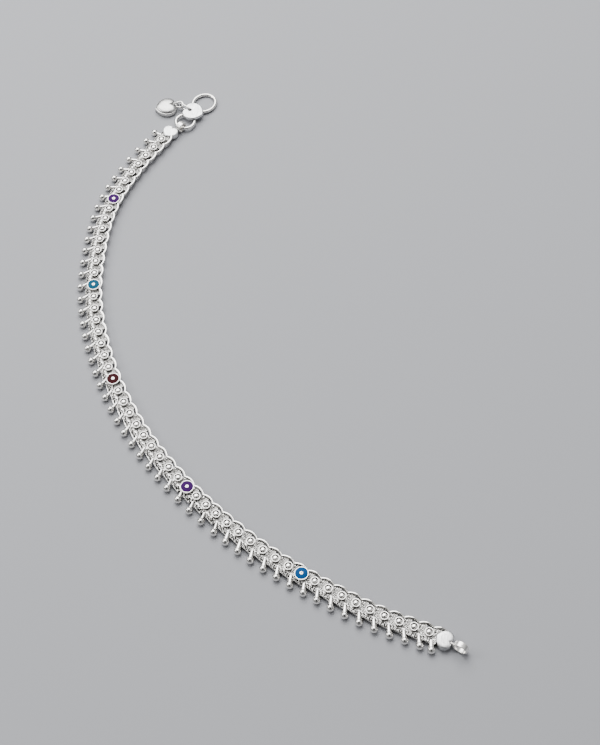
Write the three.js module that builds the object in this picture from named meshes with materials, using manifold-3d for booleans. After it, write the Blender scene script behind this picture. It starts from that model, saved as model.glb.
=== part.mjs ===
// A payal, an Indian silver anklet, lying open on a flat surface: an ankle chain of scalloped links
// with a bezel cup over each joint, five enamelled cups, a fringe of small bells, a heart cap with a
// standing end ring at both ends, and an S-shaped hook that carries a heart plate and a heart charm.
// Millimetres, +Z up, the surface at z = 0, the origin under the middle of the anklet.
import * as THREE from "three";
import { mergeVertices } from "three/addons/utils/BufferGeometryUtils.js";
import Module from "manifold-3d";

// The route of the chain: the centres of about every fourth link, evenly spaced in links
const ROUTE = [
  [-34.3, 84.7],
  [-44.2, 69.5],
  [-51.2, 53.7],
  [-54.1, 36.1],
  [-54.2, 16.9],
  [-50.5, -1.6],
  [-43.9, -19.4],
  [-34.9, -35.7],
  [-23.5, -50.4],
  [-11.5, -62.7],
  [2.9, -74.5],
  [18.3, -84.4],
  [34.3, -93.2],
  [51.2, -99.9],
];
const CUP_COUNT = 53;

// Link: a pierced plate, scalloped on the inner side of the curve, with a raised polished rim
const SCALLOP_RADIUS = 2.8;
const SCALLOP_SPREAD_DEG = 54;
const SCALLOP_STEPS = 5;
const OUTER_EDGE = 2.3;
const PLATE_THICKNESS = 1.5;
const RIM_WIDTH = 0.7;
const RIM_RISE = 0.5;
const SLOT_LENGTH = 1.4;
const SLOT_WIDTH = 0.95;
const SLOT_FROM_RIM = 0.2;

// Cups: a small bezel with a ball in it over each joint, and a wider one where there is enamel
const CUP_SIDES = 10;
const CUP_HEIGHT = 2.7;
const CUP_RADIUS = 1.25;
const CUP_WALL = 0.32;
const CUP_DEPTH = 0.45;
const CUP_BALL_RADIUS = 0.6;
const ENAMEL_CUP_RADIUS = 1.8;
const ENAMEL_CUP_WALL = 0.25;
const ENAMEL_BALL_RADIUS = 0.5;
const ENAMEL_SIDES = 12;
const ENAMEL_CLEARANCE = 0.12;
const BALL_RISE = 0.15;

// The enamelled cups, counted from the hook end, with their colours
const ENAMELS = [
  { cup: 8, colour: 0x3f1a7e },
  { cup: 16, colour: 0x0f6288 },
  { cup: 24, colour: 0x46101a },
  { cup: 34, colour: 0x3f1a7e },
  { cup: 44, colour: 0x0d5a96 },
];

// Bells: a ball on a tapered neck that leans towards the tail
const BELL_SIDES = 10;
const BELL_RADIUS = 1.08;
const BELL_REACH = 4.45;
const BELL_NECK_RADIUS = 0.36;
const BELL_SHOULDER_RADIUS = 0.68;
const BELL_SHOULDER = 0.75;
const BELL_NECK_START = 1.95;
const BELL_LEAN = 1.2;

// How far each bell trails behind its cup, in millimetres, between the cups named
const BELL_TRAIL = [
  { cup: 1, trail: -1.9 },
  { cup: 5, trail: -0.2 },
  { cup: 33, trail: 0.1 },
  { cup: 37, trail: 3.2 },
  { cup: 52, trail: 3.2 },
  { cup: 53, trail: 2.4 },
];

// The chain is in two lengths that meet in one link
const SPLIT_LINK = 27;
const SPLIT_ALONG = -0.8;
const PIECE_GAP = 0.3;

// End caps: a heart with a standing band ring soldered in its notch
const CAP_LENGTH = 5.2;
const CAP_WIDTH = 5.6;
const CAP_THICKNESS = 2.4;
const CAP_BEVEL = 0.3;
const CAP_NOTCH = 1.0;
const CAP_FROM_LINK = 2.8;
const END_RING_RADIUS = 2.2;
const END_RING_WALL = 0.45;
const END_RING_WIDTH = 1.7;
const END_RING_SIDES = 16;
const SOLDER_WIDTH = 1.3;
const SOLDER_HEIGHT = 1.0;
const SOLDER_LEVEL = 1.5;
const HEAD_TURN_DEG = -3;
const TAIL_TURN_DEG = -8;

// Each end ring's distance from the middle of its heart, the heart's side that it is on, and how far
// it is swung round there
const HEAD_RING = { reach: 4.1, aroundDeg: -24, swingDeg: 20 };
const TAIL_RING = { reach: 4.8, aroundDeg: 0, swingDeg: 0 };

// S-hook: one wire bent into two rings that cross under a heart plate
const WIRE_RADIUS = 0.58;
const WIRE_SIDES = 6;
const HOOK_SMALL_RING = 3.25;
const HOOK_BIG_RING = 3.8;
const HOOK_BIG_STRETCH = 1.14;
const HOOK_RING_SPACING = 11;
const HOOK_OPEN_DEG = 36;
const HOOK_STEPS = 36;
const HOOK_IN_EYE = 0.05;
const HOOK_GAP = 0.35;
const HOOK_SWING_DEG = 15.6;
const HOOK_TURN_DEG = -10.6;
const PLATE_LENGTH = 7.4;
const PLATE_WIDTH = 7.6;
const PLATE_METAL = 1.0;
const PLATE_BEVEL = 0.2;
const PLATE_NOTCH = 1.3;
const PLATE_ALONG = 4.7;
const PLATE_ASIDE = 0.4;
const PLATE_SINK = 0.2;
const PLATE_HOLE_RADIUS = 0.7;
const PLATE_HOLE_FROM_NOTCH = 1.15;
const HOLE_SIDES = 8;
const PLATE_TURN_DEG = 102;

// Charm: a puffy heart with a bail, hung from the plate by two small links
const CHARM_LENGTH = 7.6;
const CHARM_WIDTH = 7.3;
const CHARM_THICKNESS = 2.6;
const CHARM_BEVEL = 0.85;
const CHARM_NOTCH = 1.3;
const CHARM_TURN_DEG = 51;
const SMALL_WIRE_RADIUS = 0.28;
const RUNNING_GAP = 0.27;
const PLATE_LINK_LENGTH = 4.5;
const PLATE_LINK_TURN_DEG = -16;
const CHARM_LINK_RADIUS = 1.3;
const BAIL_RADIUS = 1.05;
const SMALL_LINK_STEPS = 12;
const CHARM_LINK_SAG = 0.2;
const BAIL_SINK = 0.12;
const RING_POINTS = 12;

// Worked out from the sizes above
const DEG = Math.PI / 180;
const UP = new THREE.Vector3(0, 0, 1);
const FLATNESS = 0.005;
const LINK_COUNT = CUP_COUNT + 1;
const PITCH = routeCurve().getLength() / CUP_COUNT;
const headCapFrame = capFrame(false, HEAD_TURN_DEG);
const tailCapFrame = capFrame(true, TAIL_TURN_DEG);

const wasm = await Module();
wasm.setup();

const SILVER = { color: 0xdcdcda, roughness: 0.22, metalness: 1.0 };
const SATIN_SILVER = { color: 0xe6e6e4, roughness: 0.42, metalness: 1.0 };

function routeCurve() {
  return new THREE.CatmullRomCurve3(ROUTE.map(([x, y]) => new THREE.Vector3(x, y, 0)));
}

// The frame of a place on the chain, counted in links from the head: x runs towards the tail,
// y towards the inner side of the curve
function frameOnRoute(links) {
  const curve = routeCurve();
  const share = THREE.MathUtils.clamp(links / CUP_COUNT, 0, 1);
  const along = curve.getTangent(share);
  const inward = new THREE.Vector3().crossVectors(UP, along);
  return new THREE.Matrix4().makeBasis(along, inward, UP).setPosition(curve.getPoint(share));
}

// The frame of an end's heart: its centre is the origin and x leaves the chain
function capFrame(atTail, turnDeg) {
  const heading = atTail ? turnDeg : 180 + turnDeg;
  return shifted(turned(frameOnRoute(atTail ? CUP_COUNT : 0), heading), CAP_FROM_LINK);
}

function shifted(frame, x, y = 0, z = 0) {
  return frame.clone().multiply(new THREE.Matrix4().makeTranslation(x, y, z));
}

function turned(frame, degrees) {
  return frame.clone().multiply(new THREE.Matrix4().makeRotationZ(degrees * DEG));
}

// A closed three.js geometry, placed by a frame, as a solid
function solid(geometry, frame = new THREE.Matrix4()) {
  const plain = geometry.clone().applyMatrix4(frame);
  plain.deleteAttribute("normal");
  plain.deleteAttribute("uv");
  const merged = mergeVertices(plain, 1e-4);
  const vertProperties = new Float32Array(merged.attributes.position.array);
  const triVerts = new Uint32Array(merged.index.array);
  return new wasm.Manifold(new wasm.Mesh({ numProp: 3, vertProperties, triVerts }));
}

// A solid with the flat faces that joins and cuts split made whole again
function tidied(body) {
  return body.asOriginal().simplify(FLATNESS);
}

function joined(solids) {
  return tidied(solids.reduce((all, one) => all.add(one)));
}

// A solid as a named mesh with flat facets, placed by a frame
function namedMesh(name, body, look, frame = new THREE.Matrix4()) {
  const { vertProperties, triVerts } = body.getMesh();
  const geometry = new THREE.BufferGeometry();
  geometry.setAttribute("position", new THREE.BufferAttribute(vertProperties, 3));
  geometry.setIndex(new THREE.BufferAttribute(triVerts, 1));
  const faceted = geometry.toNonIndexed();
  faceted.computeVertexNormals();
  const mesh = new THREE.Mesh(faceted, new THREE.MeshStandardMaterial(look));
  mesh.name = name;
  mesh.applyMatrix4(frame);
  return mesh;
}

function prism(shape, height, curveSegments = 1) {
  return new THREE.ExtrudeGeometry(shape, { depth: height, bevelEnabled: false, curveSegments });
}

// A turned solid whose axis lies along +x of its frame, from [radius, x] pairs
function turnedOnX(profile, sides, frame) {
  const points = profile.map(([radius, x]) => new THREE.Vector2(radius, x));
  const geometry = new THREE.LatheGeometry(points, sides).rotateZ(-90 * DEG);
  return solid(geometry, frame);
}

// A turned solid that stands up, from [radius, z] pairs
function turnedOnZ(profile, sides, frame = new THREE.Matrix4()) {
  const points = profile.map(([radius, z]) => new THREE.Vector2(radius, z));
  const geometry = new THREE.LatheGeometry(points, sides).rotateX(90 * DEG);
  return solid(geometry, frame);
}

// A heart with its tip on -x, its notch on +x and its centre at the origin
function heartShape(length, width, notch, grow = 0) {
  const tip = -0.55 * length - grow;
  const crown = 0.45 * length + grow;
  const dip = crown - notch;
  const side = width / 2 + grow;
  const shape = new THREE.Shape();
  shape.moveTo(tip, 0);
  shape.bezierCurveTo(tip * 0.8, -side * 0.55, tip * 0.5, -side, 0.02 * length, -side);
  shape.bezierCurveTo(crown * 0.75, -side, crown * 1.25, -side * 0.3, dip, 0);
  shape.bezierCurveTo(crown * 1.25, side * 0.3, crown * 0.75, side, 0.02 * length, side);
  shape.bezierCurveTo(tip * 0.5, side, tip * 0.8, side * 0.55, tip, 0);
  return shape;
}

// A heart plate with bevelled edges, from z = 0 up
function heartPlate(length, width, notch, thickness, bevel, bevelSegments = 1) {
  const options = {
    depth: thickness - 2 * bevel,
    bevelThickness: bevel,
    bevelSize: bevel,
    bevelOffset: -bevel,
    bevelSegments,
    curveSegments: 5,
  };
  return new THREE.ExtrudeGeometry(heartShape(length, width, notch), options).translate(0, 0, bevel);
}

// The scalloped outline of one link plate, with its slot cut through
function linkPlate(link) {
  const shape = new THREE.Shape(arcPoints(SCALLOP_RADIUS, SCALLOP_SPREAD_DEG));
  const reach = PITCH * 0.55;
  shape.lineTo(reach, -OUTER_EDGE);
  shape.lineTo(-reach, -OUTER_EDGE);
  shape.holes.push(slotPath());
  return solid(prism(shape, PLATE_THICKNESS), frameOnRoute(link));
}

// Points on an arc about the inner side (+y), from -x round to +x
function arcPoints(radius, spreadDeg) {
  const points = [];
  for (let step = 0; step <= SCALLOP_STEPS; step += 1) {
    const angle = (90 + spreadDeg - (2 * spreadDeg * step) / SCALLOP_STEPS) * DEG;
    points.push(new THREE.Vector2(radius * Math.cos(angle), radius * Math.sin(angle)));
  }
  return points;
}

// The pierced slot: a wedge between the rim and the next cup, blunt towards the head
function slotPath() {
  const inner = SCALLOP_RADIUS - RIM_WIDTH - SLOT_FROM_RIM;
  const path = new THREE.Path();
  path.moveTo(-0.1 * SLOT_LENGTH, inner);
  path.lineTo(-0.1 * SLOT_LENGTH, inner - SLOT_WIDTH);
  path.lineTo(0.9 * SLOT_LENGTH, inner - 0.3 * SLOT_WIDTH);
  path.closePath();
  return path;
}

function linkRim(link) {
  const outside = arcPoints(SCALLOP_RADIUS, SCALLOP_SPREAD_DEG);
  const inside = arcPoints(SCALLOP_RADIUS - RIM_WIDTH, SCALLOP_SPREAD_DEG).reverse();
  const shape = new THREE.Shape([...outside, ...inside]);
  return solid(prism(shape, PLATE_THICKNESS + RIM_RISE), frameOnRoute(link));
}

// The place of a cup, counted from 1 at the hook end, is halfway between two links
function frameAtCup(cup, alongMm = 0) {
  return frameOnRoute(cup - 0.5 + alongMm / PITCH);
}

function plainCup(cup) {
  const inner = CUP_RADIUS - CUP_WALL;
  const profile = [
    [0, 0],
    [CUP_RADIUS, 0],
    [CUP_RADIUS, CUP_HEIGHT],
    [inner, CUP_HEIGHT],
    [CUP_BALL_RADIUS, CUP_HEIGHT - CUP_DEPTH],
    [0, CUP_HEIGHT + BALL_RISE],
  ];
  return turnedOnZ(profile, CUP_SIDES, frameAtCup(cup));
}

function enamelCup(cup) {
  const inner = ENAMEL_CUP_RADIUS - ENAMEL_CUP_WALL;
  const profile = [
    [0, 0],
    [ENAMEL_CUP_RADIUS, 0],
    [ENAMEL_CUP_RADIUS, CUP_HEIGHT],
    [inner, CUP_HEIGHT],
    [inner, CUP_HEIGHT - CUP_DEPTH],
    [ENAMEL_BALL_RADIUS, CUP_HEIGHT - CUP_DEPTH],
    [ENAMEL_BALL_RADIUS, CUP_HEIGHT],
    [0, CUP_HEIGHT + BALL_RISE],
  ];
  return turnedOnZ(profile, ENAMEL_SIDES, frameAtCup(cup));
}

// The enamel that fills a wide cup round its ball
function enamelFill() {
  const inner = ENAMEL_BALL_RADIUS + ENAMEL_CLEARANCE;
  const outer = ENAMEL_CUP_RADIUS - ENAMEL_CUP_WALL - ENAMEL_CLEARANCE;
  const floor = CUP_HEIGHT - CUP_DEPTH + ENAMEL_CLEARANCE;
  const profile = [
    [inner, floor],
    [outer, floor],
    [outer, CUP_HEIGHT - ENAMEL_CLEARANCE],
    [inner, CUP_HEIGHT],
    [inner, floor],
  ];
  return turnedOnZ(profile, ENAMEL_SIDES);
}

function bellTrail(cup) {
  const next = BELL_TRAIL.findIndex((row) => row.cup >= cup);
  const upper = BELL_TRAIL[next];
  const lower = BELL_TRAIL[Math.max(next - 1, 0)];
  const share = upper.cup === lower.cup ? 0 : (cup - lower.cup) / (upper.cup - lower.cup);
  return THREE.MathUtils.lerp(lower.trail, upper.trail, share);
}

// A bell lies beside its link: the neck starts in the plate and the ball touches the surface
function bell(cup) {
  const trail = bellTrail(cup);
  const ball = new THREE.Vector3(0, -BELL_REACH, 0).applyMatrix4(frameAtCup(cup, trail));
  const root = new THREE.Vector3(0, -BELL_NECK_START, 0);
  root.applyMatrix4(frameAtCup(cup, trail - BELL_LEAN));
  const out = ball.clone().sub(root);
  const length = out.length();
  const along = out.normalize();
  const frame = new THREE.Matrix4().makeBasis(along, new THREE.Vector3().crossVectors(UP, along), UP);
  frame.setPosition(root.setZ(BELL_RADIUS));
  const profile = [
    [0, 0],
    [BELL_NECK_RADIUS, 0],
    [BELL_SHOULDER_RADIUS, length - BELL_SHOULDER],
    [BELL_RADIUS, length],
    [BELL_RADIUS * 0.7, length + BELL_RADIUS * 0.7],
    [0, length + BELL_RADIUS],
  ];
  return turnedOnX(profile, BELL_SIDES, frame);
}

// One length of chain between two places counted in links, with its links, cups and bells fused
function chainLength(from, to) {
  const pieces = [];
  const first = Math.max(Math.ceil(from - 1), 0);
  const last = Math.min(Math.floor(to + 1), LINK_COUNT - 1);
  for (let link = first; link <= last; link += 1) {
    pieces.push(linkPlate(link), linkRim(link));
  }
  for (let cup = 1; cup <= CUP_COUNT; cup += 1) {
    const isEnamel = ENAMELS.some((row) => row.cup === cup);
    const place = cup - 0.5;
    if (place > from && place < to) pieces.push(isEnamel ? enamelCup(cup) : plainCup(cup));
    const root = place + (bellTrail(cup) - BELL_LEAN) / PITCH;
    if (root > from && root < to) pieces.push(bell(cup));
  }
  return joined(pieces);
}

// What is cut away beyond the split, on the head side (-1) or the tail side (1), so that the two
// lengths keep their gap there
function blockBeside(place, side) {
  const length = 2 * PITCH;
  const block = new THREE.BoxGeometry(length, 4 * SCALLOP_RADIUS, 4 * CUP_HEIGHT);
  const offset = side * (length - PIECE_GAP) / 2;
  return solid(block, shifted(frameOnRoute(place), offset));
}

function upperChain(headCapRoom) {
  const split = SPLIT_LINK + SPLIT_ALONG / PITCH;
  return tidied(chainLength(-1, split).subtract(blockBeside(split, 1)).subtract(headCapRoom));
}

function lowerChain(tailCapRoom) {
  const split = SPLIT_LINK + SPLIT_ALONG / PITCH;
  return tidied(chainLength(split, LINK_COUNT).subtract(blockBeside(split, -1)).subtract(tailCapRoom));
}

// The heart cap's outline with its clearance, which the end link is cut back from
function capRoom(frame) {
  const shape = heartShape(CAP_LENGTH, CAP_WIDTH, CAP_NOTCH, PIECE_GAP);
  const room = prism(shape, 2 * CUP_HEIGHT, 5).translate(0, 0, -CUP_HEIGHT / 2);
  const beyond = new THREE.BoxGeometry(PITCH, 4 * SCALLOP_RADIUS, 4 * CUP_HEIGHT);
  beyond.translate(PITCH / 2, 0, 0);
  return solid(room, frame).add(solid(beyond, frame));
}

// The place of an end ring's foot, from the middle of its heart
function endRingFrame({ reach, aroundDeg, swingDeg }) {
  const side = new THREE.Matrix4().makeRotationZ(aroundDeg * DEG);
  return turned(shifted(side, reach), swingDeg);
}

function endRing(seat) {
  const inner = END_RING_RADIUS - END_RING_WALL;
  const half = END_RING_WIDTH / 2;
  const profile = [
    [inner, -half],
    [END_RING_RADIUS, -half],
    [END_RING_RADIUS, half],
    [inner, half],
    [inner, -half],
  ];
  const points = profile.map(([radius, y]) => new THREE.Vector2(radius, y));
  const ring = new THREE.LatheGeometry(points, END_RING_SIDES);
  return solid(ring, shifted(endRingFrame(seat), 0, 0, END_RING_RADIUS));
}

// A heart cap with its standing ring: the heart's centre is the origin, its notch is on +x
function endCap(seat) {
  const heart = heartPlate(CAP_LENGTH, CAP_WIDTH, CAP_NOTCH, CAP_THICKNESS, CAP_BEVEL);
  const start = 0.2 * CAP_LENGTH;
  const stop = seat.reach - END_RING_RADIUS + END_RING_WALL / 2;
  const solder = new THREE.BoxGeometry(stop - start, SOLDER_WIDTH, SOLDER_HEIGHT);
  solder.translate((start + stop) / 2, 0, SOLDER_LEVEL).rotateZ(seat.aroundDeg * DEG);
  return joined([solid(heart), endRing(seat), solid(solder)]);
}

// The hook's own frame: the small ring's centre is the origin, x runs to the big ring, and the small
// ring's wire passes through the head's end ring
function hookFrame() {
  const level = END_RING_WALL + HOOK_GAP + WIRE_RADIUS;
  const eye = headCapFrame.clone().multiply(endRingFrame(HEAD_RING));
  const centre = shifted(turned(eye, HOOK_SWING_DEG), HOOK_IN_EYE + HOOK_SMALL_RING, 0, level);
  const reach = HOOK_SMALL_RING + HOOK_RING_SPACING + HOOK_BIG_RING * HOOK_BIG_STRETCH;
  const tilt = Math.asin((level - WIRE_RADIUS) / reach);
  const lean = new THREE.Matrix4().makeRotationY(tilt);
  return turned(centre, HOOK_TURN_DEG).multiply(shifted(lean, 0, 0, -HOOK_SMALL_RING * Math.sin(tilt)));
}

function ringPoint(centreX, alongRadius, asideRadius, degrees) {
  const x = centreX + alongRadius * Math.cos(degrees * DEG);
  return new THREE.Vector3(x, asideRadius * Math.sin(degrees * DEG), 0);
}

// The wire's centre line: round the small ring, across under the plate, round the big ring
function hookPath() {
  const points = [];
  const sweep = 360 - 2 * HOOK_OPEN_DEG;
  for (let step = 0; step <= RING_POINTS; step += 1) {
    const angle = HOOK_OPEN_DEG + (sweep * step) / RING_POINTS;
    points.push(ringPoint(0, HOOK_SMALL_RING, HOOK_SMALL_RING, angle));
  }
  const alongRadius = HOOK_BIG_RING * HOOK_BIG_STRETCH;
  for (let step = 0; step <= RING_POINTS; step += 1) {
    const angle = 180 - HOOK_OPEN_DEG - (sweep * step) / RING_POINTS;
    points.push(ringPoint(HOOK_RING_SPACING, alongRadius, HOOK_BIG_RING, angle));
  }
  return new THREE.CatmullRomCurve3(points);
}

function wireSection(radius, sides) {
  const points = [];
  for (let side = 0; side < sides; side += 1) {
    const angle = ((side + 0.5) * 360 * DEG) / sides;
    points.push(new THREE.Vector2(radius * Math.cos(angle), radius * Math.sin(angle)));
  }
  return new THREE.Shape(points);
}

// The heart plate's place on the hook: its notch on +x, its underside sunk into the wire
function heartPlateFrame() {
  const seat = new THREE.Matrix4().makeTranslation(PLATE_ALONG, PLATE_ASIDE, WIRE_RADIUS - PLATE_SINK);
  return turned(seat, PLATE_TURN_DEG);
}

// Where the small link passes through the plate, on the plate's own axis
const HOLE_ALONG = 0.45 * PLATE_LENGTH - PLATE_NOTCH - PLATE_HOLE_FROM_NOTCH;

function sHook() {
  const options = { steps: HOOK_STEPS, bevelEnabled: false, extrudePath: hookPath() };
  const wire = new THREE.ExtrudeGeometry(wireSection(WIRE_RADIUS, WIRE_SIDES), options);
  const plate = heartPlate(PLATE_LENGTH, PLATE_WIDTH, PLATE_NOTCH, PLATE_METAL, PLATE_BEVEL);
  const hole = new THREE.CylinderGeometry(PLATE_HOLE_RADIUS, PLATE_HOLE_RADIUS, 2 * PLATE_METAL, HOLE_SIDES);
  hole.rotateX(90 * DEG).translate(HOLE_ALONG, 0, PLATE_METAL);
  const body = joined([solid(wire), solid(plate, heartPlateFrame())]);
  return tidied(body.subtract(solid(hole, heartPlateFrame())));
}

// A ring of wire stretched along x, lying level round its origin
function smallLink(radius, stretch = 0) {
  const ring = new THREE.TorusGeometry(radius, SMALL_WIRE_RADIUS, WIRE_SIDES, SMALL_LINK_STEPS);
  ring.rotateZ((180 / SMALL_LINK_STEPS) * DEG);
  const corners = ring.attributes.position;
  for (let index = 0; index < corners.count; index += 1) {
    const x = corners.getX(index);
    corners.setX(index, x + (Math.sign(x) * stretch) / 2);
  }
  return solid(ring);
}

function stoodOnEdge(frame) {
  return frame.clone().multiply(new THREE.Matrix4().makeRotationX(90 * DEG));
}

// The link through the plate stands on edge, round the plate's rim at its notch
const PLATE_LINK_RADIUS = PLATE_METAL / 2 + RUNNING_GAP + SMALL_WIRE_RADIUS;

// The frame of the plate's hole at mid-thickness: x runs to the charm
function holeFrame() {
  return turned(shifted(heartPlateFrame(), HOLE_ALONG, 0, PLATE_METAL / 2), PLATE_LINK_TURN_DEG);
}

// The link to the charm lies level, its near side inside the far end of the plate's link
function charmLinkFrame() {
  const overlap = 2 * SMALL_WIRE_RADIUS + RUNNING_GAP;
  const along = PLATE_LINK_LENGTH - overlap + CHARM_LINK_RADIUS;
  const place = shifted(hookFrame().multiply(holeFrame()), along, 0, -CHARM_LINK_SAG);
  const heading = new THREE.Vector3().setFromMatrixColumn(place, 0).setZ(0).normalize();
  const level = new THREE.Matrix4().makeBasis(heading, new THREE.Vector3().crossVectors(UP, heading), UP);
  return level.setPosition(new THREE.Vector3().setFromMatrixPosition(place));
}

// The distance from the charm's link to its bail, and from there to the heart's centre
const BAIL_REACH = CHARM_LINK_RADIUS - 2 * SMALL_WIRE_RADIUS - RUNNING_GAP + BAIL_RADIUS;
const HEART_REACH = BAIL_RADIUS - BAIL_SINK + 0.45 * CHARM_LENGTH - CHARM_NOTCH;

// The heart charm: the bail's centre is the origin at the link's height, x runs to the tip
function charmHeart(linkHeight) {
  const heart = heartPlate(CHARM_LENGTH, CHARM_WIDTH, CHARM_NOTCH, CHARM_THICKNESS, CHARM_BEVEL, 2);
  heart.rotateZ(180 * DEG).translate(HEART_REACH, 0, -linkHeight);
  const bail = smallLink(BAIL_RADIUS).transform(stoodOnEdge(new THREE.Matrix4()).elements);
  return joined([solid(heart), bail]);
}

const part = new THREE.Group();
part.add(namedMesh("chain_upper", upperChain(capRoom(headCapFrame)), SILVER));
part.add(namedMesh("chain_lower", lowerChain(capRoom(tailCapFrame)), SILVER));
ENAMELS.forEach(({ cup, colour }, index) => {
  const look = { color: colour, roughness: 0.12, metalness: 0.0 };
  part.add(namedMesh(`enamel_${index + 1}`, enamelFill(), look, frameAtCup(cup)));
});
part.add(namedMesh("head_cap", endCap(HEAD_RING), SATIN_SILVER, headCapFrame));
part.add(namedMesh("tail_cap", endCap(TAIL_RING), SATIN_SILVER, tailCapFrame));

const hook = new THREE.Group();
hook.applyMatrix4(hookFrame());
hook.add(namedMesh("s_hook", sHook(), SILVER));
const plateLink = smallLink(PLATE_LINK_RADIUS, PLATE_LINK_LENGTH - 2 * PLATE_LINK_RADIUS);
const plateLinkFrame = stoodOnEdge(shifted(holeFrame(), PLATE_LINK_LENGTH / 2));
hook.add(namedMesh("plate_link", plateLink, SILVER, plateLinkFrame));
part.add(hook);

const charm = new THREE.Group();
charm.applyMatrix4(charmLinkFrame());
charm.add(namedMesh("charm_link", smallLink(CHARM_LINK_RADIUS), SILVER));
const bailFrame = shifted(new THREE.Matrix4().makeRotationZ(CHARM_TURN_DEG * DEG), BAIL_REACH);
charm.add(namedMesh("charm_heart", charmHeart(charm.position.z), SATIN_SILVER, bailFrame));
part.add(charm);

// The middle of the anklet's box goes over the origin
const box = new THREE.Box3().setFromObject(part, true);
const middle = box.getCenter(new THREE.Vector3());
part.position.set(-middle.x, -middle.y, -box.min.z);

export default part;
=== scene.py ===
"""A payal anklet in silver, lying open: scalloped links, bezel cups, enamel, a fringe of bells, an S-hook."""

import math

import bpy
from mathutils import Matrix, Vector
from mathutils.geometry import delaunay_2d_cdt


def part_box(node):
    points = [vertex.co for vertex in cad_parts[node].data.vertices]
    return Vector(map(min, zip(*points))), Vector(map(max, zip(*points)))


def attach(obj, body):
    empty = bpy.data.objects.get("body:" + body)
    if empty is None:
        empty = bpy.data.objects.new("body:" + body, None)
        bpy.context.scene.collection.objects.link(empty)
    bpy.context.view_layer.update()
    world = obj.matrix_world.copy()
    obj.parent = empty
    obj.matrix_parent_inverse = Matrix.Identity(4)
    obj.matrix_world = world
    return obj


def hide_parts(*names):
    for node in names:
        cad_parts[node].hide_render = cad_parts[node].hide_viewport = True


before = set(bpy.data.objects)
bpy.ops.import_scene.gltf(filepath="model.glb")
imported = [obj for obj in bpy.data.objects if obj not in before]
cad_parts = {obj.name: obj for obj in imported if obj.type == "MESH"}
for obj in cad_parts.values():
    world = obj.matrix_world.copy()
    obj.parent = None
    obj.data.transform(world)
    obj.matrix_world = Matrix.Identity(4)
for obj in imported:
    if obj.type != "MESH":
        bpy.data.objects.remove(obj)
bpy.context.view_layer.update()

MM = 0.001
UP = Vector((0, 0, 1))

# The route of the chain in millimetres, as the CAD part has it: evenly spaced in links
ROUTE = [
    (-34.3, 84.7), (-44.2, 69.5), (-51.2, 53.7), (-54.1, 36.1), (-54.2, 16.9), (-50.5, -1.6), (-43.9, -19.4),
    (-34.9, -35.7), (-23.5, -50.4), (-11.5, -62.7), (2.9, -74.5), (18.3, -84.4), (34.3, -93.2), (51.2, -99.9),
]
CUP_COUNT = 53
LINK_COUNT = CUP_COUNT + 1

# The camera's place over the route and its lens, worked out from the photograph
CAMERA_X = 12.71
CAMERA_Y = -253.59
CAMERA_Z = 387.5
CAMERA_ELEVATION_DEG = 58.0
FOCAL_PIXELS = 1450.0
PHOTO_HEIGHT_PIXELS = 745.0
SENSOR = 36.0

# The enamelled cups, counted from the hook end, with their colours
ENAMELS = [
    (8, "purple", "#40085E"), (16, "teal", "#085A78"), (24, "maroon", "#3E060E"), (34, "purple", "#40085E"),
    (44, "blue", "#064E8C"),
]

# The chain's two lengths meet in this link, this share of a link before its middle
SPLIT_LINK = 27
SPLIT_SHARE = 0.2

# Rim arches: each spans from one notch to the next, a little towards the tail from its link's middle.
# The flattened wire tapers and dips at its tail end, and a thin wire runs inside its other half
ARCH_SHIFT = 1.1
ARCH_TOP = 2.92
ARCH_NOTCH = 2.22
RIM_WIRE = 0.35
RIM_FLATTEN = 0.6
RIM_LEVEL = 2.1
RIM_DIP = 0.45
RIM_STEPS = 36
RIM_SPAN = 1.1
LAST_RIM_SPAN = 0.75
RIM_START = 1.12
RIM_TAPER = 0.25
FLUTE_FROM = 0.45
FLUTE_DEPTH = 0.12
INNER_WIRE = 0.13
INNER_WIRE_OFFSET = 0.4
INNER_WIRE_LEVEL = 2.0
INNER_WIRE_STEPS = 10
INNER_WIRE_SPAN = 0.5

# Link plate: the granulated web with its pierced slot, and the ground of the open work, coloured nearly black
# as painted shade
WEB_TOP = 1.7
WEB_BOTTOM = 0.6
WEB_EASE = 0.1
WEB_OUTER_EDGE = 1.5
WEB_TEETH = 8
SLOT_LENGTH = 2.1
SLOT_END = 3.0
GROUND_INNER = 1.2
GROUND_EDGE = 2.5
GROUND_BOTTOM = 0.4
GROUND_TOP = 1.0
GRAIN_RADIUS = 0.2
GRAIN_SPACING = 0.42

# Small wire rings on the web: a long one beside each cup, and round ones between the granules
PETAL = (-0.55, 1.35)
PETAL_RADIUS = 0.44
PETAL_WIRE = 0.17
PETAL_STRETCH = 0.2
PETAL_TURN_DEG = 60
CURLS = [(0.05, 0.35), (-0.3, -0.65), (0.55, -0.95)]
CURL_RADIUS = 0.3
CURL_WIRE = 0.14

# Cups: a small one with a stud in it over each joint, or a wide one with enamel round an eyelet
CUP_HEIGHT = 2.7
CUP_RADIUS = 1.31
CUP_WALL = 0.24
STUD_RADIUS = 0.74
ENAMEL_CUP_RADIUS = 2.1
ENAMEL_CUP_WALL = 0.21
EYELET_RADIUS = 0.55
EYELET_HOLE = 0.14
ENAMEL_CLEARANCE = 0.02
ENAMEL_CROWN = 0.14

# Bells, with how far each trails behind its cup between the cups named
BELL_RADIUS = 1.15
BELL_REACH = 4.45
BELL_ROOT = 1.75
BELL_LEAN = 1.2
BELL_TRAIL = [(1, -1.9), (5, -0.2), (33, 0.1), (37, 3.2), (52, 3.2), (53, 2.4)]

# Neck radii from the root to the ball, and the stouter ones of the last bells
NECK = [0.56, 0.54, 0.52, 0.52, 0.58, 0.7, 0.7]
STOUT_NECK = [0.56, 0.62, 0.68, 0.74, 0.8, 0.86, 0.88]
STOUT_AFTER_CUP = 37

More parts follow.
